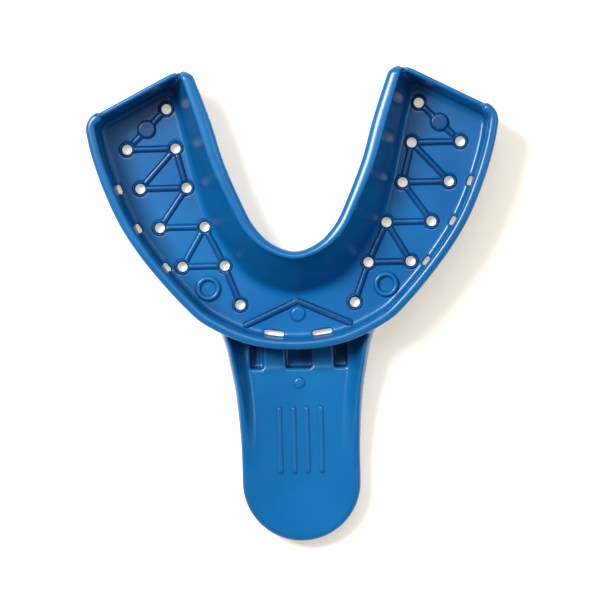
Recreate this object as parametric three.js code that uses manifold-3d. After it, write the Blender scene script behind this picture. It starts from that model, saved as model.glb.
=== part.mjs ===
// Lower full-arch impression tray: a horseshoe trough with a flat floor, two side flanges that end in
// rolled rims, a low wall across each heel, and a scooped handle at the front.
// Millimetres. +Z is up out of the trough, +Y points from the handle to the heels, X = 0 is the midline.
import * as THREE from 'three';
import Module from 'manifold-3d';
import { mergeVertices } from 'three/addons/utils/BufferGeometryUtils.js';

// ---- driving dimensions -------------------------------------------------------------------------

const FLOOR_THICKNESS = 2;
const FLANGE_TOP = 14.4;
const TRAY_HEIGHT = 16;
const HANDLE_REACH = 47; // from the front row of holes to the handle's tip

// Half plan lines, from the midline at the front to the heel, measured from the front row of holes.
// Each one is mirrored to make its arch.
const OUTER_LINE = [
  [0, -8.8], [9, -7.7], [17.2, -4], [21.9, 0], [28.7, 8], [33.6, 15.4], [37, 23], [39.2, 29.8], [40.3, 35.2],
];
const TONGUE_LINE = [
  [0, 10.4], [4.5, 12], [7.8, 15.4], [10.15, 20], [13.4, 28], [15.75, 36], [18.9, 45],
];
const LINGUAL_TOP_LINE = [
  [0, 8.8], [5.5, 10.5], [9.6, 14.1], [12.3, 19], [15.9, 27.1], [18.4, 35.2], [21.5, 45.1],
];
const LINGUAL_FOOT_LINE = [
  [0, 1.9], [4.6, 2.9], [8.2, 4.6], [11.7, 8], [16.5, 15.7], [19.1, 23.5], [20.9, 31.4], [23.9, 44.3],
];
const ARCH_STEPS = 48;

// The outer line turns this corner into a straight run across the heel.
const HEEL_CORNER_RADIUS = 2.6;
const HEEL_SLOPE = Math.atan2(5.6, -10.9); // heading of the heel's straight run, towards the tongue
const HEEL_TURN_STEPS = 6;
const HEEL_RETURN = 1.2; // how far the buccal flange goes on along that run

const RIM_WIDTH = 2;
const CROWN_SHARES = [0, 0.06, 0.25, 0.5, 0.75, 0.94, 1]; // across a rim, where its section has a point
// Outer and inner face of each outer wall, in from the outer line.
const BUCCAL_FLANGE = { top: [0.4, 1.6], foot: [0.7, 1.9] };
const HEEL_WALL = { top: [0.3, 1.3], foot: [0.7, 1.7], height: 15.2, length: 17 };
const LINGUAL_THICKNESS = 1.9;
const GAP = 0.3; // left where one moulded region is cut by the next
const OVERSHOOT = 1; // how far a cutter runs past what it cuts
const BEHIND_LINGUAL = 6; // from the lingual flange's face to well past its rim

const HOLE_RADIUS = 1.25;
const COLLAR_WIDTH = 0.35;
const ROW_PITCH = 7.85;
const HOLE_ROWS = [[11.4], [14.3, 22.7], [18.1, 27], [21.5, 30.7], [23.5, 33.1], [25.1]];
const RIB = { width: 1, height: 0.6 };
// Slots through the floor at the foot of the outer wall: beside three of the rows, and at the front.
const SIDE_SLOT = { length: 2, width: 0.8, inset: 2.2, rows: [1, 2, 3] };
const FRONT_SLOT = { length: 4, width: 0.9, inset: 2.7, x: 4.8 };

const STOP = { x: 17.7, y: 3.4, outer: 2.4, inner: 1.6, height: 1, edge: 0.2 };
const HEEL_BOSS = { x: 29.1, y: 35.3, radius: 1.65, height: 1 };
const FRONT_BOSS = { y: -2.1, radius: 1.4, height: 0.4 };
const CHEVRON = { apexY: 0.5, endX: 10.4, endY: -4.1 };

const HANDLE = {
  bottom: 4, // underside of the blade
  top: 6.2, // upper face of the blade
  rootBottom: 1.8, // underside of the thick root
  halfWidth: 11.7,
  tipCentre: -35.3, // centre of the round end
  rootEndY: -14, // the thick root ends here
  bladeStartY: -22, // and has thinned to the blade here
  sides: [[15.4, -4.6], [14.3, -8], [13.5, -12], [12.5, -18], [11.8, -27]],
};
const RAIL = { width: 1.4, rootHeight: 6.5, rootY: -7, endY: -33, steps: 10, fall: 1.3 };
const POCKET = { halfWidth: 9.6, endY: -12.7, floor: 2.9 };
const ROOT_WEB = { from: 2.6, to: 7, rearY: -9.4 };
const HANDLE_MARK = { y: -15.6, radius: 1, height: 0.35 };
const GRIP_RIDGES = { x: [-4.1, -1.3, 1.3, 4.1], fromY: -20.4, toY: -33.4, width: 0.7, height: 0.35 };

const ROUND_SEGMENTS = 18;
const RING_SEGMENTS = 24;

// ---- solids -------------------------------------------------------------------------------------

const wasm = await Module();
wasm.setup();

function toSolid(geometry) {
  const bare = new THREE.BufferGeometry();
  bare.setAttribute('position', geometry.getAttribute('position'));
  bare.setIndex(geometry.getIndex());
  const merged = mergeVertices(bare, 1e-4);
  return new wasm.Manifold(new wasm.Mesh({
    numProp: 3,
    vertProperties: new Float32Array(merged.getAttribute('position').array),
    triVerts: new Uint32Array(merged.getIndex().array),
  }));
}

function toGeometry(solid) {
  const mesh = solid.getMesh();
  const geometry = new THREE.BufferGeometry();
  geometry.setAttribute('position', new THREE.BufferAttribute(mesh.vertProperties, 3));
  geometry.setIndex(new THREE.BufferAttribute(mesh.triVerts, 1));
  geometry.computeVertexNormals();
  return geometry;
}

// Joins solids, then cuts others from them.
function carve(added, cut = []) {
  const [first, ...rest] = added.map(toSolid);
  const whole = rest.reduce((solid, next) => solid.add(next), first);
  return toGeometry(cut.map(toSolid).reduce((solid, tool) => solid.subtract(tool), whole));
}

function intersect(a, b) {
  return toGeometry(toSolid(a).intersect(toSolid(b)));
}

// A plan outline raised from one height to another.
function plate(outline, bottom, top) {
  const shape = outline instanceof THREE.Shape ? outline : new THREE.Shape(outline);
  const depth = top - bottom;
  const options = { depth, bevelEnabled: false, curveSegments: ROUND_SEGMENTS };
  return new THREE.ExtrudeGeometry(shape, options).translate(0, 0, bottom);
}

function disc(x, y, radius, bottom, top) {
  const geometry = new THREE.CylinderGeometry(radius, radius, top - bottom, ROUND_SEGMENTS);
  return geometry.rotateX(Math.PI / 2).translate(x, y, (bottom + top) / 2);
}

// A straight bar between two plan points.
function bar([x1, y1], [x2, y2], width, bottom, top) {
  const length = Math.hypot(x2 - x1, y2 - y1);
  const geometry = new THREE.BoxGeometry(length, width, top - bottom);
  geometry.rotateZ(Math.atan2(y2 - y1, x2 - x1));
  return geometry.translate((x1 + x2) / 2, (y1 + y2) / 2, (bottom + top) / 2);
}

// A closed skin over rings of equal length, with a flat cap at each end.
function loft(rings) {
  const size = rings[0].length;
  const positions = rings.flat().flatMap((p) => [p.x, p.y, p.z]);
  const index = [];
  for (let ring = 0; ring < rings.length - 1; ring += 1) {
    for (let i = 0; i < size; i += 1) {
      const a = ring * size + i;
      const b = ring * size + ((i + 1) % size);
      index.push(a, b, b + size, a, b + size, a + size);
    }
  }
  const last = (rings.length - 1) * size;
  for (let i = 1; i < size - 1; i += 1) {
    index.push(0, i + 1, i, last, last + i, last + i + 1);
  }
  const geometry = new THREE.BufferGeometry();
  geometry.setAttribute('position', new THREE.Float32BufferAttribute(positions, 3));
  geometry.setIndex(signedVolume(positions, index) < 0 ? index.reverse() : index);
  geometry.computeVertexNormals();
  return geometry;
}

function signedVolume(positions, index) {
  const corner = (i) => new THREE.Vector3().fromArray(positions, 3 * index[i]);
  let sum = 0;
  for (let i = 0; i < index.length; i += 3) {
    sum += corner(i).dot(corner(i + 1).cross(corner(i + 2)));
  }
  return sum / 6;
}

// ---- plan lines ---------------------------------------------------------------------------------

// The whole arch of a half line, from the left heel round the front to the right heel.
function arch(half) {
  const right = half.map(([x, y]) => new THREE.Vector2(x, y));
  return new THREE.SplineCurve([...mirrored(right.slice(1)), ...right]).getSpacedPoints(ARCH_STEPS);
}

function mirrored(points) {
  return points.map((p) => new THREE.Vector2(-p.x, p.y)).reverse();
}

// The buccal line: the outer arch, then at both ends the turn into the heel.
function buccalLine() {
  const right = arch(OUTER_LINE).slice(ARCH_STEPS / 2);
  const end = right[right.length - 1];
  const before = right[right.length - 2];
  const heading = Math.atan2(end.y - before.y, end.x - before.x);
  const centre = new THREE.Vector2(
    end.x - HEEL_CORNER_RADIUS * Math.sin(heading),
    end.y + HEEL_CORNER_RADIUS * Math.cos(heading),
  );
  for (let i = 1; i <= HEEL_TURN_STEPS; i += 1) {
    const angle = THREE.MathUtils.lerp(heading, HEEL_SLOPE, i / HEEL_TURN_STEPS);
    right.push(new THREE.Vector2(
      centre.x + HEEL_CORNER_RADIUS * Math.sin(angle),
      centre.y - HEEL_CORNER_RADIUS * Math.cos(angle),
    ));
  }
  right.push(alongHeel(right[right.length - 1], HEEL_RETURN));
  return [...mirrored(right.slice(1)), ...right];
}

function alongHeel(point, distance) {
  return new THREE.Vector2(
    point.x + distance * Math.cos(HEEL_SLOPE),
    point.y + distance * Math.sin(HEEL_SLOPE),
  );
}

// A line moved sideways, to the left of its own heading.
function offset(line, distance) {
  return line.map((p, i) => {
    const before = line[Math.max(i - 1, 0)];
    const after = line[Math.min(i + 1, line.length - 1)];
    const heading = after.clone().sub(before).normalize();
    return new THREE.Vector2(p.x - distance * heading.y, p.y + distance * heading.x);
  });
}

const outer = buccalLine();
const tongue = arch(TONGUE_LINE);
const lingualTop = arch(LINGUAL_TOP_LINE);
const lingualFoot = arch(LINGUAL_FOOT_LINE);
const lingualFootBack = offset(lingualFoot, LINGUAL_THICKNESS);
const lingualTopBack = offset(lingualTop, LINGUAL_THICKNESS);

// ---- the trough ---------------------------------------------------------------------------------

const holes = HOLE_ROWS.map((row, i) => row.map((x) => [x, i * ROW_PITCH]));
const bothSides = [-1, 1];
const allHoles = bothSides.flatMap((side) => holes.flat().map(([x, y]) => [side * x, y]));

// A pair of cutters on an inset of the outer line, where that line passes a value of X or Y.
function slotPair(axis, value, { length, width, inset }) {
  const right = offset(outer, inset).filter((p) => p.x >= 0);
  const i = right.findIndex((p) => p[axis] > value);
  const [before, after] = [right[i - 1], right[i]];
  const centre = before.clone().lerp(after, (value - before[axis]) / (after[axis] - before[axis]));
  const angle = after.clone().sub(before).angle();
  return bothSides.map((side) => {
    const cutter = new THREE.BoxGeometry(length, width, 3 * FLOOR_THICKNESS).rotateZ(side * angle);
    return cutter.translate(side * centre.x, centre.y, 0);
  });
}

function trayFloor() {
  const edge = offset(outer, BUCCAL_FLANGE.foot[0]);
  const outline = [...edge, ...lingualFootBack.slice().reverse()];
  const drills = allHoles.map(([x, y]) => disc(x, y, HOLE_RADIUS, -OVERSHOOT, FLOOR_THICKNESS + OVERSHOOT));
  const sideSlots = SIDE_SLOT.rows.flatMap((row) => slotPair('y', row * ROW_PITCH, SIDE_SLOT));
  const frontSlots = slotPair('x', FRONT_SLOT.x, FRONT_SLOT);
  return carve([plate(outline, 0, FLOOR_THICKNESS)], [...drills, ...sideSlots, ...frontSlots]);
}

const at = (z) => (p) => new THREE.Vector3(p.x, p.y, z);

// A wall that leans between its foot and its top. Each is a pair of lines: one face, then the other.
function wall([footA, footB], [topA, topB], bottom, top) {
  return loft(footA.map((_, i) => [
    at(bottom)(footA[i]), at(bottom)(footB[i]), at(top)(topB[i]), at(top)(topA[i]),
  ]));
}

// One of three stretches of the buccal flange, counted from the left heel. They meet face to face.
function buccalFlange(stretch) {
  const third = (outer.length - 1) / 3;
  const [from, to] = [stretch, stretch + 1].map((count) => Math.round(count * third));
  const { foot, top } = BUCCAL_FLANGE;
  const lines = (insets) => insets.map((inset) => offset(outer, inset).slice(from, to + 1));
  return wall(lines(foot), lines(top), FLOOR_THICKNESS, FLANGE_TOP);
}

function lingualFlange() {
  return wall([lingualFoot, lingualFootBack], [lingualTop, lingualTopBack], FLOOR_THICKNESS, FLANGE_TOP);
}

// A rounded bead that lies on a flange between two lines.
function rim(lineA, lineB) {
  const rise = TRAY_HEIGHT - FLANGE_TOP;
  return loft(lineA.map((a, i) => CROWN_SHARES.map((share) => {
    const p = a.clone().lerp(lineB[i], share);
    const height = Math.sqrt(Math.max(0, 1 - (2 * share - 1) ** 4));
    return at(FLANGE_TOP + rise * height)(p);
  })));
}

// The low wall across a heel, between the ends of the two flanges.
function heelWall(side) {
  const corner = outer[outer.length - 1];
  const inward = new THREE.Vector2(-Math.sin(HEEL_SLOPE), Math.cos(HEEL_SLOPE));
  const point = (distance, inset) => {
    const p = alongHeel(corner, distance).addScaledVector(inward, inset);
    return new THREE.Vector2(side * p.x, p.y);
  };
  const { foot, top, height, length } = HEEL_WALL;
  const faces = (insets) => insets.map((inset) => [point(GAP, inset), point(length, inset)]);
  return carve([wall(faces(foot), faces(top), FLOOR_THICKNESS, height)], lingualClearance());
}

// The space of the lingual flange, its rim and what lies behind them, with a gap in front.
function lingualClearance() {
  const foot = [offset(lingualFoot, -GAP), offset(lingualFoot, BEHIND_LINGUAL)];
  const top = [offset(lingualTop, -GAP), offset(lingualTop, BEHIND_LINGUAL)];
  return [
    wall(foot, top, FLOOR_THICKNESS - OVERSHOOT, FLANGE_TOP),
    wall(top, top, FLANGE_TOP - OVERSHOOT, TRAY_HEIGHT),
  ];
}

// ---- ribs, stops and bosses on the trough's floor -----------------------------------------------

const ribTop = FLOOR_THICKNESS + RIB.height;
const rib = (a, b) => bar(a, b, RIB.width, FLOOR_THICKNESS, ribTop);
const collar = ([x, y]) => disc(x, y, HOLE_RADIUS + COLLAR_WIDTH, FLOOR_THICKNESS, ribTop);
const drill = ([x, y]) => disc(x, y, HOLE_RADIUS, 0, ribTop + OVERSHOOT);
const onSide = (side) => ([x, y]) => [side * x, y];

// Ribs that zigzag from hole to hole along one arm, with a thin collar round each hole.
function ribNetwork(side) {
  const rows = holes.slice(0, 5).map((row) => row.map(onSide(side)));
  const across = rows.slice(1).map(([inner, outerHole]) => rib(inner, outerHole));
  const along = [
    rib(rows[0][0], rows[1][0]),
    rib(rows[1][0], rows[2][0]), rib(rows[1][1], rows[2][0]),
    rib(rows[2][1], rows[3][0]),
    rib(rows[3][0], rows[4][0]), rib(rows[3][1], rows[4][0]),
  ];
  const nodes = rows.flat();
  return carve([...across, ...along, ...nodes.map(collar)], nodes.map(drill));
}

// The round boss near the heel and the diagonal rib that runs through it.
function heelBoss(side) {
  const place = onSide(side);
  const last = place(holes[5][0]);
  const outerHole = place(holes[4][1]);
  const centre = place([HEEL_BOSS.x, HEEL_BOSS.y]);
  const boss = disc(...centre, HEEL_BOSS.radius, FLOOR_THICKNESS, FLOOR_THICKNESS + HEEL_BOSS.height);
  const clear = disc(...outerHole, HOLE_RADIUS + COLLAR_WIDTH + GAP, 0, ribTop + OVERSHOOT);
  return carve([rib(last, centre), rib(centre, outerHole), collar(last), boss], [drill(last), clear]);
}

function tissueStop(side) {
  const { inner, outer: outside, height, edge } = STOP;
  const profile = [
    [inner, 0], [outside, 0], [outside, height - edge], [outside - edge, height],
    [inner + edge, height], [inner, height - edge], [inner, 0],
  ].map(([r, z]) => new THREE.Vector2(r, z));
  const ring = mergeVertices(bareLathe(profile), 1e-4);
  return ring.rotateX(Math.PI / 2).translate(side * STOP.x, STOP.y, FLOOR_THICKNESS);
}

function bareLathe(profile) {
  const lathe = new THREE.LatheGeometry(profile, RING_SEGMENTS);
  lathe.deleteAttribute('normal');
  lathe.deleteAttribute('uv');
  return lathe;
}

function chevronRib() {
  const apex = [0, CHEVRON.apexY];
  return carve(bothSides.map((side) => rib(apex, [side * CHEVRON.endX, CHEVRON.endY])));
}

// ---- the handle ---------------------------------------------------------------------------------

function handleOutline(inset) {
  const radius = HANDLE.halfWidth - inset;
  const side = new THREE.SplineCurve([
    ...HANDLE.sides.map(([x, y]) => new THREE.Vector2(x - inset, y)),
    new THREE.Vector2(radius, HANDLE.tipCentre),
  ]).getPoints(20);
  const shape = new THREE.Shape(side);
  shape.absarc(0, HANDLE.tipCentre, radius, 0, -Math.PI, true);
  mirrored(side).forEach((p) => shape.lineTo(p.x, p.y));
  return shape;
}

// A side view in Y and Z, carried across the whole width of the handle.
function acrossHandle(profile) {
  const width = 2 * (HANDLE.sides[0][0] + OVERSHOOT);
  const shape = new THREE.Shape(profile.map(([y, z]) => new THREE.Vector2(-z, y)));
  const geometry = new THREE.ExtrudeGeometry(shape, { depth: width, bevelEnabled: false });
  return geometry.translate(0, 0, -width / 2).rotateY(Math.PI / 2);
}

// The space that the trough's front wall fills, with a gap round it.
function troughFront() {
  return plate(offset(outer, -GAP + BUCCAL_FLANGE.top[0]), -OVERSHOOT, TRAY_HEIGHT);
}

function handleBlade() {
  const { bottom, top, rootBottom, rootEndY, bladeStartY } = HANDLE;
  const beyondTip = -HANDLE_REACH - OVERSHOOT;
  const sideView = [
    [0, top], [beyondTip, top], [beyondTip, bottom],
    [bladeStartY, bottom], [rootEndY, rootBottom], [0, rootBottom],
  ];
  const body = intersect(plate(handleOutline(0), 0, top), acrossHandle(sideView));
  const pocket = new THREE.BoxGeometry(2 * POCKET.halfWidth, -POCKET.endY, top);
  pocket.translate(0, POCKET.endY / 2, POCKET.floor + top / 2);
  return carve([body], [troughFront(), pocket]);
}

// A raised side rail, highest at the root and run out before the round end.
function handleRail(side) {
  const { width, rootHeight, rootY, endY, steps, fall } = RAIL;
  const rise = Array.from({ length: steps + 1 }, (_, i) => {
    const share = i / steps;
    return [THREE.MathUtils.lerp(endY, rootY, share), HANDLE.top + rootHeight * share ** fall];
  });
  const strip = carve(
    [plate(handleOutline(0), HANDLE.top, TRAY_HEIGHT)],
    [plate(handleOutline(width), 0, TRAY_HEIGHT + OVERSHOOT), troughFront(), otherHalf(side)],
  );
  return intersect(strip, acrossHandle([[0, HANDLE.top], ...rise, [0, HANDLE.top + rootHeight]]));
}

function otherHalf(side) {
  const size = 2 * HANDLE_REACH;
  return new THREE.BoxGeometry(size, 2 * size, size).translate((-side * size) / 2, 0, 0);
}

function rootWeb(side) {
  const { from, to, rearY } = ROOT_WEB;
  const length = rearY - POCKET.endY - GAP;
  const web = new THREE.BoxGeometry(to - from, length, HANDLE.top - POCKET.floor);
  return web.translate(side * (from + to) / 2, rearY - length / 2, (HANDLE.top + POCKET.floor) / 2);
}

function gripRidge(x) {
  const { fromY, toY, width, height } = GRIP_RIDGES;
  return bar([x, fromY], [x, toY], width, HANDLE.top, HANDLE.top + height);
}

// ---- the assembly -------------------------------------------------------------------------------

const BLUE = new THREE.Color(0x1468b4);
const sides = [['left', -1], ['right', 1]];

const parts = {
  tray_floor: trayFloor(),
  buccal_flange_left: buccalFlange(0),
  buccal_flange_front: buccalFlange(1),
  buccal_flange_right: buccalFlange(2),
  lingual_flange: lingualFlange(),
  buccal_rim: rim(outer, offset(outer, RIM_WIDTH)),
  lingual_rim: rim(lingualTop, tongue),
  chevron_rib: chevronRib(),
  front_boss: disc(0, FRONT_BOSS.y, FRONT_BOSS.radius, FLOOR_THICKNESS, FLOOR_THICKNESS + FRONT_BOSS.height),
  handle_blade: handleBlade(),
  handle_mark: disc(0, HANDLE_MARK.y, HANDLE_MARK.radius, HANDLE.top, HANDLE.top + HANDLE_MARK.height),
};
for (const [name, side] of sides) {
  parts[`heel_wall_${name}`] = heelWall(side);
  parts[`rib_network_${name}`] = ribNetwork(side);
  parts[`heel_boss_${name}`] = heelBoss(side);
  parts[`tissue_stop_${name}`] = tissueStop(side);
  parts[`handle_rail_${name}`] = handleRail(side);
  parts[`root_web_${name}`] = rootWeb(side);
}
GRIP_RIDGES.x.forEach((x, i) => {
  parts[`grip_ridge_${i + 1}`] = gripRidge(x);
});

const tray = new THREE.Group();
for (const [name, geometry] of Object.entries(parts)) {
  const material = new THREE.MeshStandardMaterial({ color: BLUE, roughness: 0.35, metalness: 0 });
  const mesh = new THREE.Mesh(geometry, material);
  mesh.name = name;
  tray.add(mesh);
}

// The origin lies under the middle of the tray's footprint.
const extent = new THREE.Box3().setFromObject(tray);
tray.position.y = -(extent.min.y + extent.max.y) / 2;

export default tray;
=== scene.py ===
"""Looks of the impression tray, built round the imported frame.

The tray is one injection moulding, so its body is one seamless skin. Every piece is a field: a
function that is above zero inside the plastic and falls through zero at the surface. The fields are
built in millimetres from plan lines and heights, joined with fillets, and turned into meshes by a
surface net.
"""

import math

import bpy
import numpy as np
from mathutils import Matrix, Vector


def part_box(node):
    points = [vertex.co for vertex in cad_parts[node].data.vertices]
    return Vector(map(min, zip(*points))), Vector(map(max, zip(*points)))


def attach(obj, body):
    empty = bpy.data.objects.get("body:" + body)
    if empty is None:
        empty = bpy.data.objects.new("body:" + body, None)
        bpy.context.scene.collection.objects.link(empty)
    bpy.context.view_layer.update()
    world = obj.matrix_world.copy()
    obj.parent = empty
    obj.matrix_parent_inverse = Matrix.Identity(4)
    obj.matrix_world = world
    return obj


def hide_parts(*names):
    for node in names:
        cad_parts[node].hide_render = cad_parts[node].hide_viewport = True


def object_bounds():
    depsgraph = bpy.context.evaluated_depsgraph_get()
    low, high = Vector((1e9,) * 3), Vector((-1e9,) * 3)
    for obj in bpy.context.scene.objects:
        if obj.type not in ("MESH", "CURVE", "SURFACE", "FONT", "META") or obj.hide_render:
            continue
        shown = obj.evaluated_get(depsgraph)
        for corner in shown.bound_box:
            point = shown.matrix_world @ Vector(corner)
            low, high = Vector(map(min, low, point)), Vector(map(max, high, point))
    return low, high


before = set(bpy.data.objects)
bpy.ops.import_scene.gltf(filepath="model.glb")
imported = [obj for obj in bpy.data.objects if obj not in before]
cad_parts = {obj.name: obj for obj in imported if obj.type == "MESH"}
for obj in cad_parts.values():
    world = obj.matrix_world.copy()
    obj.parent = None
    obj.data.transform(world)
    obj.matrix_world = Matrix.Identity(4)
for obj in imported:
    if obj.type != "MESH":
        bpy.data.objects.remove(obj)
cad_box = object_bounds()

MM = 0.001
BODY = "root"

# ---- measures taken from the frame, in millimetres -----------------------------------------------


def node_box(node):
    """A node's lowest and highest corners."""
    return [np.array(corner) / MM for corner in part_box(node)]


def node_middle(node):
    """The middle of a node's box."""
    low, high = node_box(node)
    return (low + high) / 2


FLOOR_TOP = node_box("tray_floor")[1][2]
FLANGE_TOP = node_box("lingual_flange")[1][2]
RIM_TOP = node_box("buccal_rim")[1][2]
HEEL_TOP = node_box("heel_wall_left")[1][2]
BLADE_TOP = node_box("handle_mark")[0][2]
RIB_TOP = node_box("chevron_rib")[1][2]
TIP = -node_box("handle_blade")[0][1]

# The plan lines are measured from the front row of holes, which lies this far along the frame's Y.
HANDLE_REACH = 47.0
ROW_ORIGIN = HANDLE_REACH - TIP

# ---- plan lines: the right half, from the midline at the front to the heel -----------------------

OUTER_LINE = [
    (0, -8.8), (9, -7.7), (17.2, -4), (21.9, 0), (28.7, 8), (33.6, 15.4), (37, 23), (39.2, 29.8),
    (40.3, 35.2),
]
TONGUE_LINE = [
    (0, 10.4), (4.5, 12), (7.8, 15.4), (10.15, 20), (13.4, 28), (15.75, 36), (18.9, 45),
]
LINGUAL_TOP_LINE = [
    (0, 8.8), (5.5, 10.5), (9.6, 14.1), (12.3, 19), (15.9, 27.1), (18.4, 35.2), (21.5, 45.1),
]
LINGUAL_FOOT_LINE = [
    (0, 1.9), (4.6, 2.9), (8.2, 4.6), (11.7, 8), (16.5, 15.7), (19.1, 23.5), (20.9, 31.4),
    (23.9, 44.3),
]
HEEL_CORNER = (38.9, 37.9)
HEEL_SLOPE = math.atan2(5.6, -10.9)
HANDLE_SIDE = [(15.4, -4.6), (14.3, -8), (13.5, -12), (12.5, -18), (11.8, -27), (11.7, -35.3)]

HOLE_RADIUS = 1.25
ROW_PITCH = 7.85
HOLE_ROWS = [[11.4], [14.3, 22.7], [18.1, 27], [21.5, 30.7], [23.5, 33.1], [25.1]]


def shifted(points):
    """Points of a plan line, in the frame."""
    return np.array(points, float) + (0, ROW_ORIGIN)


def spline(points, steps=24):
    """A smooth line through points, by Catmull-Rom spans."""
    p = np.vstack([2 * points[0] - points[1], points, 2 * points[-1] - points[-2]])
    t = np.linspace(0, 1, steps, endpoint=False)[:, None]
    spans = []
    for a, b, c, d in zip(p, p[1:], p[2:], p[3:]):
        spans.append(0.5 * (2 * b + (c - a) * t + (2 * a - 5 * b + 4 * c - d) * t**2
                            + (3 * b - a - 3 * c + d) * t**3))
    return np.vstack([*spans, points[-1]])


def arch(points, beyond=12.0):
    """The whole arch of a half line, from heel to heel, run on straight past both heels."""
    half = shifted(points)
    mirror = half[:0:-1] * (-1, 1)
    line = spline(np.vstack([mirror, half]))
    run_on = line[-1] - line[-4]
    run_on = line[-1] + run_on / np.linalg.norm(run_on) * beyond
    return np.vstack([run_on * (-1, 1), line, run_on])


# ---- fields: above zero inside, in millimetres ---------------------------------------------------


def beside(line, x, y):
    """Signed distance from a plan line to points: above zero to the left of the line's heading."""
    x, y = np.broadcast_arrays(x, y)
    best = np.full(x.shape, np.inf)
    sign = np.ones(x.shape)
    for (ax, ay), (bx, by) in zip(line, line[1:]):
        dx, dy = bx - ax, by - ay
        share = np.clip(((x - ax) * dx + (y - ay) * dy) / (dx * dx + dy * dy), 0, 1)
        gap_x, gap_y = x - ax - share * dx, y - ay - share * dy
        gap = gap_x**2 + gap_y**2
        nearer = gap < best
        best = np.where(nearer, gap, best)
        sign = np.where(nearer, np.sign(dx * gap_y - dy * gap_x), sign)
    return np.sqrt(best) * sign


def both(a, b, radius=0.0):
    """The space that two fields share, with a round of this radius along the edge between them."""
    if radius == 0:
        return np.minimum(a, b)
    round_off = np.hypot(np.maximum(radius - a, 0), np.maximum(radius - b, 0))
    return np.maximum(np.minimum(a, b), radius) - round_off


def either(a, b, radius=0.0):
    """The space that either field fills, with a fillet of this radius between them."""
    return -both(-a, -b, radius)


def without(a, b, radius=0.0):
    """One field less another, with a round edge where they meet."""
    return both(a, -b, radius)


def between(low, high, share):
    """The value at a share of the way from low to high."""
    return low + (high - low) * share


def box_field(x, y, half_x, half_y, radius):
    """A rectangle with round corners, about the origin of x and y."""
    return both(half_x - np.abs(x), half_y - np.abs(y), radius)


def segment(x, y, start, end):
    """Distance to a straight stretch between two plan points."""
    (ax, ay), (bx, by) = start, end
    dx, dy = bx - ax, by - ay
    share = np.clip(((x - ax) * dx + (y - ay) * dy) / (dx * dx + dy * dy), 0, 1)
    return np.hypot(x - ax - share * dx, y - ay - share * dy)


OUTER = arch(OUTER_LINE)
TONGUE = arch(TONGUE_LINE)
LINGUAL_TOP = arch(LINGUAL_TOP_LINE)
LINGUAL_FOOT = arch(LINGUAL_FOOT_LINE)
HOLES = [(hx, row * ROW_PITCH + ROW_ORIGIN) for row, xs in enumerate(HOLE_ROWS) for hx in xs]


def on_inset(inset, axis, value):
    """Where an inset of the outer line passes an x (axis 0) or a y (axis 1), and its heading there."""
    heading = np.gradient(OUTER, axis=0)
    heading /= np.linalg.norm(heading, axis=1)[:, None]
    line = OUTER + inset * heading[:, ::-1] * (-1, 1)
    right = np.flatnonzero(line[:, 0] > 0)
    first = right[np.argmax(line[right, axis] > value)]
    share = (value - line[first - 1, axis]) / (line[first, axis] - line[first - 1, axis])
    return between(line[first - 1], line[first], share), heading[first]


def handle_outline():
    """The handle's right half, from the tip round the end and up the side to the root."""
    centre_y = HANDLE_SIDE[-1][1] + ROW_ORIGIN
    radius = HANDLE_SIDE[-1][0]
    angles = np.radians(np.arange(-110, 0, 2))
    end = np.column_stack([radius * np.cos(angles), centre_y + radius * np.sin(angles)])
    side = spline(shifted(HANDLE_SIDE[::-1]))
    return np.vstack([end, side, side[-1] + (2, 6)])


HANDLE_OUTLINE = handle_outline()

# ---- the tray's body -----------------------------------------------------------------------------

BUCCAL_FOOT, BUCCAL_TOP = (0.7, 1.9), (0.4, 1.6)
HEEL_FOOT, HEEL_EDGE = (0.7, 1.7), (0.3, 1.3)
LINGUAL_THICKNESS = 1.75
TONGUE_MARGIN = 0.2
WALL_SHARES = (-0.2, 1.15)  # the walls go on leaning a little below their foot and above their top
ARM_END = 46.0 + ROW_ORIGIN
LIP_END = 45.7 + ROW_ORIGIN
RIM_WIDTH = 2.0
RIM_RETURN = 1.4  # how far the outer rim goes on along the heel
HEEL_ZONE = 4.0  # the rim can only end this near the heel
LIP_DROOP = 0.6
LIP_CREST = 0.45  # the droop starts this far from the lip's middle, in half widths
SIDE_SLOTS = {"inset": 2.2, "length": 2.0, "width": 0.8, "rows": (1, 2, 3)}
FRONT_SLOTS = {"inset": 2.7, "length": 4.0, "width": 0.9, "x": 4.8}
CUT_ABOVE_FLOOR = 1.2
RAIL_END, RAIL_ROOT = -33 + ROW_ORIGIN, -7 + ROW_ORIGIN
RAIL_HEIGHT = 6.5
RAIL_FALL = 1.3
SCOOP = {"start": 1.3, "width": 2.4}
ROOT_UNDERSIDE, BLADE_UNDERSIDE = 1.8, 4.0
THINNING = {"start": -22, "length": 8}
INTO_WALL = 1.4  # how far the handle reaches into the front wall
POCKET = {"half_width": 9.6, "end": -12.7 + ROW_ORIGIN, "floor": 2.9}
WEB = {"middle": 4.8, "half_width": 2.2, "into_blade": 0.4, "into_floor": 0.5}
NOTCH = {"from_lip": 0.25, "width": 0.7, "front": 44.9 + ROW_ORIGIN, "floor": 12.6}

# Radii of the rounds and fillets.
HEEL_TURN = 2.6
WALL_CORNER = 2.2
TROUGH_CORNER = 1.6
LIP_CORNER = 1.2
ARM_CORNER = 1.0
TROUGH_FOOT = 0.9
BLADE_EDGE = 0.9
BODY_CORNER = 0.8
HANDLE_FILLET = 0.8
RIM_EDGE = 0.75
RIM_END = 0.7
SOFT_EDGE = 0.5
WALL_EDGE = 0.45
TONGUE_EDGE = 0.4
RIM_FILLET = 0.35
SLOT_CORNER = 0.35
SMALL_EDGE = 0.3
FINE_EDGE = 0.25


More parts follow.
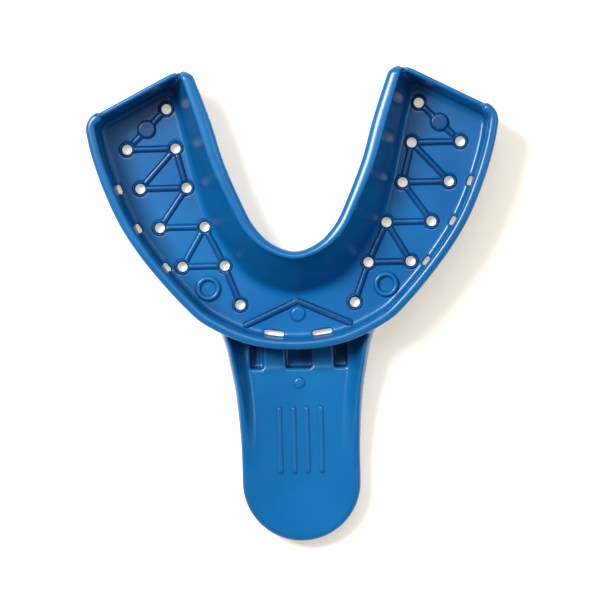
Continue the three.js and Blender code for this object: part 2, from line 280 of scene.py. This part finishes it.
def plan_fields(x, y):
    """The plan distances that the fields are made of. They go by |x|, as the tray mirrors itself."""
    side = np.abs(x)
    inward = (-math.sin(HEEL_SLOPE), math.cos(HEEL_SLOPE))
    corner_x, corner_y = shifted([HEEL_CORNER])[0]
    return {
        "side": side,
        "outer": beside(OUTER, side, y),
        "tongue": beside(TONGUE, side, y),
        "top": beside(LINGUAL_TOP, side, y),
        "foot": beside(LINGUAL_FOOT, side, y),
        "heel": (side - corner_x) * inward[0] + (y - corner_y) * inward[1],
        "along_heel": (side - corner_x) * inward[1] - (y - corner_y) * inward[0],
        "handle": beside(HANDLE_OUTLINE, side, y),
    }


def trough(p, y, z):
    """The floor, the flanges and the heel walls."""
    share = np.clip((z - FLOOR_TOP) / (FLANGE_TOP - FLOOR_TOP), *WALL_SHARES)
    lean = np.sqrt(1 + ((p["top"] - p["foot"]) / (FLANGE_TOP - FLOOR_TOP))**2)
    lingual = -between(p["foot"], p["top"], share) / lean
    buccal = [p["outer"] - between(*edges, share) for edges in zip(BUCCAL_FOOT, BUCCAL_TOP)]
    heel = [p["heel"] - between(*edges, share) for edges in zip(HEEL_FOOT, HEEL_EDGE)]
    space = both(both(buccal[1], heel[1], TROUGH_CORNER), lingual, TROUGH_CORNER)
    space = both(space, z - FLOOR_TOP, TROUGH_FOOT)
    tongue_side = both(lingual + LINGUAL_THICKNESS, -TONGUE_MARGIN - p["tongue"], TONGUE_EDGE)
    tongue_side = both(tongue_side, ARM_END - y, ARM_CORNER)
    body = both(both(buccal[0], heel[0], WALL_CORNER), tongue_side, BODY_CORNER)
    body = both(both(body, z, SOFT_EDGE), HEEL_TOP - z, SOFT_EDGE)
    return without(body, space, WALL_EDGE)


def buccal_rim(p, z):
    """The rolled bead on the outer wall, which turns the corner into each heel and ends there."""
    outline = both(p["outer"], p["heel"], HEEL_TURN)
    middle, half = (RIM_TOP + FLANGE_TOP) / 2, (RIM_TOP - FLANGE_TOP) / 2
    across = RIM_WIDTH / 2 - np.abs(outline - RIM_WIDTH / 2)
    bead = both(across, half - np.abs(z - middle), RIM_EDGE)
    return both(bead, np.maximum(RIM_RETURN - p["along_heel"], p["heel"] - HEEL_ZONE), RIM_END)


def lingual_rim(p, y, z):
    """The wide lip round the tongue space: highest beside the trough, and lower towards the tongue."""
    half = (p["top"] - p["tongue"]) / 2
    middle = (p["top"] + p["tongue"]) / 2
    across = middle / np.maximum(half, 0.3)
    crest = RIM_TOP - LIP_DROOP * np.clip((across + LIP_CREST) / (1 + LIP_CREST), 0, 1)**2
    lip = both(half - np.abs(middle), both(crest - z, z - FLANGE_TOP, TONGUE_EDGE), SOFT_EDGE)
    return both(lip, LIP_END - y, LIP_CORNER)


def handle(p, y, z):
    """The scooped blade with its rails, thick root and pocket."""
    rail = RAIL_HEIGHT * np.clip((y - RAIL_END) / (RAIL_ROOT - RAIL_END), 0, 1)**RAIL_FALL
    scoop = np.clip((p["handle"] - SCOOP["start"]) / SCOOP["width"], 0, 1)
    slope = rail * 2 * (1 - scoop) / SCOOP["width"]
    upper = (BLADE_TOP + rail * (1 - scoop)**2 - z) / np.sqrt(1 + slope**2)
    thinning = np.clip((y - ROW_ORIGIN - THINNING["start"]) / THINNING["length"], 0, 1)
    underside = between(BLADE_UNDERSIDE, ROOT_UNDERSIDE, thinning**2 * (3 - 2 * thinning))
    blade = both(both(upper, z - underside, SOFT_EDGE), p["handle"], BLADE_EDGE)
    blade = both(blade, INTO_WALL - p["outer"])
    pocket = both(POCKET["half_width"] - p["side"], y - POCKET["end"], SOFT_EDGE)
    pocket = both(pocket, z - POCKET["floor"], SOFT_EDGE)
    blade = without(blade, pocket, SMALL_EDGE)
    across = WEB["half_width"] - np.abs(p["side"] - WEB["middle"])
    web = both(across, y - POCKET["end"] + WEB["into_blade"])
    upright = both(BLADE_TOP - z, z - POCKET["floor"] + WEB["into_floor"])
    web = both(both(web, upright, FINE_EDGE), INTO_WALL - p["outer"])
    return either(blade, web, SMALL_EDGE)


def retention_openings(p, y, z):
    """The round holes and the slots through the floor."""
    cut = np.max([HOLE_RADIUS - np.hypot(p["side"] - hx, y - hy) for hx, hy in HOLES], axis=0)
    places = [(SIDE_SLOTS, on_inset(SIDE_SLOTS["inset"], 1, row * ROW_PITCH + ROW_ORIGIN))
              for row in SIDE_SLOTS["rows"]]
    places.append((FRONT_SLOTS, on_inset(FRONT_SLOTS["inset"], 0, FRONT_SLOTS["x"])))
    for size, ((cx, cy), (hx, hy)) in places:
        dx, dy = p["side"] - cx, y - cy
        along, across = dx * hx + dy * hy, dy * hx - dx * hy
        slot = box_field(along, across, size["length"] / 2, size["width"] / 2, SLOT_CORNER)
        cut = np.maximum(cut, slot)
    return both(cut, FLOOR_TOP + CUT_ABOVE_FLOOR - z)


def heel_notch(p, y, z):
    """The groove between each heel wall and the end of the lip."""
    across = NOTCH["width"] / 2 - np.abs(p["top"] + NOTCH["from_lip"])
    return both(both(across, y - NOTCH["front"], SMALL_EDGE), z - NOTCH["floor"], SMALL_EDGE)


def tray_body(x, y, z):
    """The whole moulding, but for the small raised features."""
    p = plan_fields(x, y)
    shell = either(trough(p, y, z), handle(p, y, z), HANDLE_FILLET)
    shell = without(shell, retention_openings(p, y, z), FINE_EDGE)
    shell = without(shell, heel_notch(p, y, z), SMALL_EDGE)
    shell = either(shell, buccal_rim(p, z), RIM_FILLET)
    return either(shell, lingual_rim(p, y, z), RIM_FILLET)


# ---- small raised features -----------------------------------------------------------------------

EMBED = 0.4  # how deep a raised feature reaches into the face below it
FLARE = 0.3
COLLAR = 0.15
HOLE_CLEARANCE = 0.03
HOLE_EDGE = 0.1
RIB_HALF_WIDTH = 0.45
CHEVRON_HALF_WIDTH = 0.5
CHEVRON_LINE = [(0, 0.5), (10.4, -4.1)]
HEEL_BOSS = {"centre": (29.1, 35.3), "radius": 1.65, "gap": 0.5}
STOP_RADII = (2.4, 1.6)


def raised(plan, z, foot, top, edge=FINE_EDGE):
    """A plan shape raised from a face, with a round upper edge and a small fillet at its foot."""
    flare = FLARE * np.clip((foot + FLARE - z) / FLARE, 0, 1)**2
    return both(both(plan + flare, top - z, edge), z - foot + EMBED)


def with_collar(bars, from_hole):
    """Bars with a thin collar round each hole, and the holes open."""
    whole = either(bars, HOLE_RADIUS + COLLAR - from_hole, SMALL_EDGE)
    return without(whole, HOLE_RADIUS + HOLE_CLEARANCE - from_hole, HOLE_EDGE)


def rib_network(side):
    """Ribs that zigzag from hole to hole, with a collar round each hole."""
    rows = [[(side * hx, row * ROW_PITCH + ROW_ORIGIN) for hx in xs]
            for row, xs in enumerate(HOLE_ROWS[:5])]
    pairs = [(row[0], row[1]) for row in rows[1:]]
    pairs += [(rows[0][0], rows[1][0]), (rows[1][0], rows[2][0]), (rows[1][1], rows[2][0])]
    pairs += [(rows[2][1], rows[3][0]), (rows[3][0], rows[4][0]), (rows[3][1], rows[4][0])]
    holes = [hole for row in rows for hole in row]

    def field(x, y, z):
        bars = np.max([RIB_HALF_WIDTH - segment(x, y, *pair) for pair in pairs], axis=0)
        from_hole = np.min([np.hypot(x - hx, y - hy) for hx, hy in holes], axis=0)
        return raised(with_collar(bars, from_hole), z, FLOOR_TOP, RIB_TOP)
    return field


def heel_boss(side):
    """The round boss near a heel, on the diagonal rib between the last two holes."""
    top = node_box("heel_boss_right")[1][2]
    last = np.array((side * HOLE_ROWS[5][0], 5 * ROW_PITCH + ROW_ORIGIN))
    outer = np.array((side * HOLE_ROWS[4][1], 4 * ROW_PITCH + ROW_ORIGIN))
    centre = shifted([HEEL_BOSS["centre"]])[0] * (side, 1)

    def field(x, y, z):
        from_last, from_outer, from_centre = (
            np.hypot(x - place[0], y - place[1]) for place in (last, outer, centre))
        nearest = np.minimum(segment(x, y, last, centre), segment(x, y, centre, outer))
        plan = with_collar(RIB_HALF_WIDTH - nearest, from_last)
        plan = without(plan, HOLE_RADIUS + HEEL_BOSS["gap"] - from_outer)
        ribs = raised(plan, z, FLOOR_TOP, RIB_TOP)
        disc = raised(HEEL_BOSS["radius"] - from_centre, z, FLOOR_TOP, top)
        return either(ribs, disc, SMALL_EDGE)
    return field


def ring(node, outer, inner):
    """A hollow round stop."""
    centre, (low, high) = node_middle(node), node_box(node)

    def field(x, y, z):
        radius = np.hypot(x - centre[0], y - centre[1])
        half = (outer - inner) / 2
        plan = half - np.abs(radius - (outer + inner) / 2)
        return raised(plan, z, low[2], high[2], SMALL_EDGE)
    return field


def button(node):
    """A low round boss."""
    centre, (low, high) = node_middle(node), node_box(node)
    radius = (high[0] - low[0]) / 2

    def field(x, y, z):
        plan = radius - np.hypot(x - centre[0], y - centre[1])
        return raised(plan, z, low[2], high[2], SMALL_EDGE)
    return field


def ridge(node):
    """A plain grip ridge along the handle."""
    centre, (low, high) = node_middle(node), node_box(node)
    half = (high - low) / 2

    def field(x, y, z):
        plan = box_field(x - centre[0], y - centre[1], half[0], half[1], half[0])
        return raised(plan, z, low[2], high[2], SMALL_EDGE)
    return field


def chevron(x, y, z):
    """The V-shaped rib at the front."""
    apex, end = shifted(CHEVRON_LINE)
    plan = CHEVRON_HALF_WIDTH - segment(np.abs(x), y, apex, end)
    return raised(plan, z, FLOOR_TOP, RIB_TOP)


# ---- from field to mesh --------------------------------------------------------------------------


SURFACE_STEPS = 3
LEAST_STEEPNESS = 0.05
LONGEST_MOVE = 0.5  # in cells
MARGIN = 2.5  # in cells, round the box in which a surface is looked for


def sampled(grid, at):
    """A grid's values at fractional grid places, by trilinear interpolation."""
    base = np.clip(np.floor(at).astype(int), 0, np.array(grid.shape[:3]) - 2)
    part = at - base
    total = 0
    for corner in np.ndindex(2, 2, 2):
        weight = np.prod(np.where(corner, part, 1 - part), axis=1)
        values = grid[tuple((base + corner).T)]
        total = total + (weight * values.T).T
    return total


def surface_net(field, low, high, cell):
    """Vertices, quads and normals of the surface where a field is zero.

    There is one vertex in each grid cell that the surface crosses, and a few steps along the field's
    slope put it on the surface.
    """
    cell = np.array(cell, float)
    counts = np.ceil((high - low) / cell).astype(int) + 1
    x, y, z = (low[i] + cell[i] * np.arange(counts[i]) for i in range(3))
    grid = field(x[:, None, None], y[None, :, None], z[None, None, :])
    grid = np.ascontiguousarray(np.broadcast_to(grid, counts))
    inside = grid > 0

    cells = tuple(counts - 1)
    total, hits = np.zeros((*cells, 3)), np.zeros(cells)
    crossings = []
    for axis in range(3):
        others = [i for i in range(3) if i != axis]
        start = [slice(None)] * 3
        start[axis] = slice(0, -1)
        stop = [slice(None)] * 3
        stop[axis] = slice(1, None)
        start, stop = tuple(start), tuple(stop)
        edges = np.argwhere(inside[start] != inside[stop])
        inner = np.all([(edges[:, i] > 0) & (edges[:, i] < counts[i] - 1) for i in others], axis=0)
        edges = edges[inner]
        first = grid[start][tuple(edges.T)]
        second = grid[stop][tuple(edges.T)]
        place = edges.astype(float)
        place[:, axis] += first / (first - second)
        around = []
        for shift in ((0, 0), (1, 0), (1, 1), (0, 1)):
            neighbour = edges.copy()
            neighbour[:, others[0]] -= shift[0]
            neighbour[:, others[1]] -= shift[1]
            around.append(neighbour)
            np.add.at(total, tuple(neighbour.T), place)
            np.add.at(hits, tuple(neighbour.T), 1)
        crossings.append((around, (first > 0) == (axis != 1)))

    used = hits > 0
    number = np.full(cells, -1)
    number[used] = np.arange(used.sum())
    places = total[used] / hits[used][:, None]
    faces = []
    for around, forward in crossings:
        quads = np.column_stack([number[tuple(neighbour.T)] for neighbour in around])
        faces.append(np.where(forward[:, None], quads, quads[:, ::-1]))
    faces = np.vstack(faces)

    slopes = np.stack(np.gradient(grid, *cell), axis=-1)
    for _ in range(SURFACE_STEPS):
        slope = sampled(slopes, places)
        steep = np.maximum((slope**2).sum(axis=1), LEAST_STEEPNESS)
        move = -(sampled(grid, places) / steep)[:, None] * slope / cell
        places = places + np.clip(move, -LONGEST_MOVE, LONGEST_MOVE)
    normals = -sampled(slopes, places)
    normals /= np.maximum(np.linalg.norm(normals, axis=1), 1e-6)[:, None]
    return low + places * cell, faces, normals


def make_piece(name, field, box, cell, nodes, material):
    """A mesh of a field, which rides on the tray and stands for CAD nodes."""
    margin = MARGIN * np.array(cell)
    low, high = box
    points, faces, normals = surface_net(field, low - margin, high + margin, cell)
    points = np.clip(points, low, high)
    mesh = bpy.data.meshes.new(name)
    mesh.vertices.add(len(points))
    mesh.vertices.foreach_set("co", (points * MM).ravel())
    mesh.loops.add(faces.size)
    mesh.loops.foreach_set("vertex_index", faces.ravel().astype(np.int32))
    mesh.polygons.add(len(faces))
    mesh.polygons.foreach_set("loop_start", np.arange(0, faces.size, 4, dtype=np.int32))
    mesh.update(calc_edges=True)
    mesh.validate()
    mesh.shade_smooth()
    mesh.normals_split_custom_set_from_vertices(normals)
    mesh.materials.append(material)
    piece = bpy.data.objects.new(name, mesh)
    bpy.context.scene.collection.objects.link(piece)
    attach(piece, BODY)
    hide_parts(*nodes)


# ---- materials -----------------------------------------------------------------------------------


class Nodes:
    """A small helper for writing node trees."""

    def __init__(self, name):
        self.material = bpy.data.materials.new(name)
        self.material.use_nodes = True
        self.tree = self.material.node_tree
        self.shader = self.tree.nodes["Principled BSDF"]

    def add(self, kind, inputs=(), **settings):
        """A new node with its settings, and its inputs by socket."""
        node = self.tree.nodes.new(kind)
        for key, value in settings.items():
            setattr(node, key, value)
        for socket, value in dict(inputs).items():
            self.feed(node, socket, value)
        return node

    def feed(self, node, socket, value):
        """Links an input to a socket, or sets it to a constant."""
        if isinstance(value, bpy.types.NodeSocket):
            self.tree.links.new(value, node.inputs[socket])
        else:
            node.inputs[socket].default_value = value

    def noise(self, place, scale, detail=3.0, roughness=0.5):
        """Soft noise over a place, from 0 to 1."""
        inputs = {"Vector": place, "Scale": scale, "Detail": detail, "Roughness": roughness}
        return self.add("ShaderNodeTexNoise", inputs).outputs["Fac"]

    def ramp(self, factor, stops):
        """A colour ramp, from pairs of a position and a colour."""
        node = self.add("ShaderNodeValToRGB", {"Fac": factor})
        elements = node.color_ramp.elements
        while len(elements) < len(stops):
            elements.new(0.5)
        for element, (position, colour) in zip(elements, stops):
            element.position = position
            element.color = (*colour, 1)
        return node.outputs["Color"]

    def spread(self, value, low, high):
        """Maps 0 to 1 on to low to high."""
        inputs = {"Value": value, "To Min": low, "To Max": high}
        return self.add("ShaderNodeMapRange", inputs).outputs["Result"]

    def blend(self, factor, a, b):
        """A mix of two colours, each a socket or a constant."""
        node = self.add("ShaderNodeMix", data_type="RGBA")
        colours = [socket for socket in node.inputs if socket.type == "RGBA"]
        self.feed(node, "Factor", factor)
        for socket, colour in zip(colours, (a, b)):
            if isinstance(colour, bpy.types.NodeSocket):
                self.tree.links.new(colour, socket)
            else:
                socket.default_value = (*colour, 1)
        return next(socket for socket in node.outputs if socket.type == "RGBA")

    def bump(self, layers):
        """Stacks bumps, each a height, a depth in metres and a strength."""
        normal = None
        for height, distance, strength in layers:
            inputs = {"Height": height, "Distance": distance, "Strength": strength}
            node = self.add("ShaderNodeBump", inputs)
            if normal:
                self.tree.links.new(normal, node.inputs["Normal"])
            normal = node.outputs["Normal"]
        return normal


BLUE_DEEP = (0.002, 0.092, 0.280)
BLUE = (0.003, 0.115, 0.330)
BLUE_PALE = (0.006, 0.150, 0.395)
# Darker blues for the ribs, the chevron and the heel bosses: painted shade, standing in for the shadow
# that the raised ribs throw, so that they read as dark lines.
RIB_SHADED_DEEP = (0.002, 0.040, 0.150)
RIB_SHADED_BLUE = (0.002, 0.055, 0.190)
PAPER = (0.90, 0.885, 0.85)
PAPER_PALE = (0.93, 0.92, 0.895)
PAPER_GLOW = (1.0, 0.88, 0.68)


def blue_plastic(name, deep, middle, pale):
    """Semi-gloss polystyrene: faint clouding in the colour, flow streaks, fine grain, and convex edges
    painted paler as a painted glow of light through the thin plastic.
    """
    nodes = Nodes(name)
    place = nodes.add("ShaderNodeTexCoord").outputs["Object"]
    clouds = nodes.noise(place, scale=45, detail=4)
    along_flow = nodes.add("ShaderNodeMapping", {"Vector": place, "Scale": (260, 40, 260)})
    flow = nodes.noise(along_flow.outputs["Vector"], scale=1, roughness=0.6)
    grain = nodes.noise(place, scale=2600, detail=2)
    waviness = nodes.noise(place, scale=120, detail=2)
    wear = nodes.noise(place, scale=160, detail=4)
    colour = nodes.ramp(clouds, [(0.3, deep), (0.52, middle), (0.78, pale)])
    colour = nodes.blend(nodes.spread(flow, low=0.0, high=0.25), colour, pale)
    # Convex edges are blended towards the pale blue by pointiness: painted light, standing in for the
    # glow of light through the thin plastic at its edges.
    pointed = nodes.add("ShaderNodeNewGeometry").outputs["Pointiness"]
    painted_edge_glow_range = {"Value": pointed, "From Min": 0.53, "From Max": 0.62, "To Max": 0.35}
    edges = nodes.add("ShaderNodeMapRange", painted_edge_glow_range).outputs["Result"]
    colour = nodes.blend(edges, colour, pale)
    bumps = nodes.bump([(waviness, 0.06 * MM, 0.25), (grain, 0.01 * MM, 0.35)])
    nodes.feed(nodes.shader, "Base Color", colour)
    nodes.feed(nodes.shader, "Roughness", nodes.spread(wear, low=0.19, high=0.27))
    nodes.feed(nodes.shader, "Normal", bumps)
    nodes.shader.inputs["IOR"].default_value = 1.57
    nodes.shader.inputs["Specular IOR Level"].default_value = 0.3
    return nodes.material


def pale_paper():
    """The plain pale surface that the tray lies on, faintly lit from within.

    It is clear from below, so that the underside can be seen.
    """
    nodes = Nodes("pale_paper")
    place = nodes.add("ShaderNodeTexCoord").outputs["Object"]
    fibres = nodes.noise(place, scale=900)
    tone = nodes.noise(place, scale=6, detail=2)
    nodes.feed(nodes.shader, "Base Color", nodes.ramp(tone, [(0.3, PAPER), (0.7, PAPER_PALE)]))
    nodes.feed(nodes.shader, "Normal", nodes.bump([(fibres, 0.02 * MM, 0.2)]))
    nodes.shader.inputs["Roughness"].default_value = 0.85
    nodes.shader.inputs["Specular IOR Level"].default_value = 0.2
    nodes.shader.inputs["Emission Color"].default_value = (*PAPER_GLOW, 1)
    nodes.shader.inputs["Emission Strength"].default_value = 0.44
    from_below = nodes.add("ShaderNodeNewGeometry").outputs["Backfacing"]
    clear = nodes.add("ShaderNodeBsdfTransparent").outputs["BSDF"]
    mix = nodes.add("ShaderNodeMixShader", {0: from_below, 1: nodes.shader.outputs["BSDF"], 2: clear})
    nodes.feed(nodes.tree.nodes["Material Output"], "Surface", mix.outputs["Shader"])
    return nodes.material


plastic = blue_plastic("blue_plastic", BLUE_DEEP, BLUE, BLUE_PALE)
# The ribs' plastic is the same plastic in darker blues: a painted shade along the ribs.
shaded_rib_plastic = blue_plastic("blue_plastic_ribs_painted_shade", RIB_SHADED_DEEP, RIB_SHADED_BLUE, BLUE)

# ---- the pieces ----------------------------------------------------------------------------------

BODY_CELL = (0.34, 0.34, 0.45)
FINE_CELL = (0.16, 0.16, 0.16)
BODY_NODES = [
    "tray_floor", "buccal_flange_left", "buccal_flange_front", "buccal_flange_right",
    "lingual_flange", "buccal_rim", "lingual_rim", "heel_wall_left", "heel_wall_right",
    "handle_blade", "handle_rail_left", "handle_rail_right", "root_web_left", "root_web_right",
]
SIDES = {"left": -1, "right": 1}


def small_piece(node, field, material=plastic):
    """A raised feature's mesh, in the place of its node."""
    low, high = node_box(node)
    box = low - (FLARE, FLARE, EMBED), high + (FLARE, FLARE, 0)
    make_piece(f"{node}_fine", field, box, FINE_CELL, [node], material)


whole = [np.array(corner) / MM for corner in cad_box]
make_piece("tray_body", tray_body, whole, BODY_CELL, BODY_NODES, plastic)
for name, side in SIDES.items():
    small_piece(f"rib_network_{name}", rib_network(side), shaded_rib_plastic)
    small_piece(f"heel_boss_{name}", heel_boss(side), shaded_rib_plastic)
    small_piece(f"tissue_stop_{name}", ring(f"tissue_stop_{name}", *STOP_RADII))
small_piece("chevron_rib", chevron, shaded_rib_plastic)
small_piece("front_boss", button("front_boss"))
small_piece("handle_mark", button("handle_mark"))
for number in range(1, 5):
    small_piece(f"grip_ridge_{number}", ridge(f"grip_ridge_{number}"))

# ---- floor, light and camera ---------------------------------------------------------------------


WARM, COOL = (1.0, 0.99, 0.97), (0.97, 0.98, 1.0)
WALLS, CEILING = (1.0, 0.94, 0.84), (0.08, 0.08, 0.08)
STAGE_HALF = 3.0
FLOOR_GAP = 0.05 * MM


def stage_floor():
    """A flat sheet just under the tray."""
    mesh = bpy.data.meshes.new("floor")
    turns = [(-1, -1), (1, -1), (1, 1), (-1, 1)]
    corners = [(x * STAGE_HALF, y * STAGE_HALF, -FLOOR_GAP) for x, y in turns]
    mesh.from_pydata(corners, [], [(0, 1, 2, 3)])
    mesh.materials.append(pale_paper())
    floor = bpy.data.objects.new("floor", mesh)
    bpy.context.scene.collection.objects.link(floor)


def area_light(name, place, target, size, power, colour):
    """A round soft light."""
    light = bpy.data.lights.new(name, "AREA")
    light.shape = "DISK"
    light.size = size
    light.energy = power
    light.color = colour
    lamp = bpy.data.objects.new(name, light)
    lamp.location = place
    lamp.rotation_euler = (Vector(target) - Vector(place)).to_track_quat("-Z", "Y").to_euler()
    bpy.context.scene.collection.objects.link(lamp)


def studio_surround(low, high, turn_height, strength):
    """Light from all round: one colour up to a height (1 is straight up), and another above it."""
    world = bpy.data.worlds.new("studio")
    world.use_nodes = True
    tree = world.node_tree
    place = tree.nodes.new("ShaderNodeTexCoord")
    split = tree.nodes.new("ShaderNodeSeparateXYZ")
    ramp = tree.nodes.new("ShaderNodeValToRGB")
    tree.links.new(place.outputs["Generated"], split.inputs["Vector"])
    tree.links.new(split.outputs["Z"], ramp.inputs["Fac"])
    ramp.color_ramp.elements[0].position, ramp.color_ramp.elements[1].position = turn_height
    ramp.color_ramp.elements[0].color = (*low, 1)
    ramp.color_ramp.elements[1].color = (*high, 1)
    background = tree.nodes["Background"]
    tree.links.new(ramp.outputs["Color"], background.inputs["Color"])
    background.inputs["Strength"].default_value = strength
    bpy.context.scene.world = world


def camera():
    """Nearly straight down, from far off, and turned a little."""
    distance, view_width, sensor = 0.6, 0.1174, 36.0
    aim = Vector((0.00067, 0.0013, 0.012))
    tilt_x, tilt_y, roll = math.radians(0.84), math.radians(-0.94), math.radians(-1.44)
    lens = bpy.data.cameras.new("camera")
    lens.sensor_width = sensor
    lens.lens = sensor * distance / view_width
    lens.clip_start = 0.01
    eye = bpy.data.objects.new("camera", lens)
    eye.rotation_euler = (tilt_y, tilt_x, roll)
    eye.location = aim + eye.rotation_euler.to_matrix() @ Vector((0, 0, distance))
    bpy.context.scene.collection.objects.link(eye)
    bpy.context.scene.camera = eye


stage_floor()
area_light("key", (-0.22, 0.17, 0.48), (0, 0, 0), size=0.18, power=3.5, colour=WARM)
area_light("back", (0.0, 0.30, 0.80), (0, 0.30, 0), size=0.38, power=1.7, colour=COOL)
area_light("fill", (0.34, 0.06, 0.42), (0, 0, 0), size=0.25, power=0.45, colour=COOL)
studio_surround(WALLS, CEILING, turn_height=(0.78, 0.96), strength=0.26)
camera()
bpy.context.scene.view_settings.view_transform = "Standard"
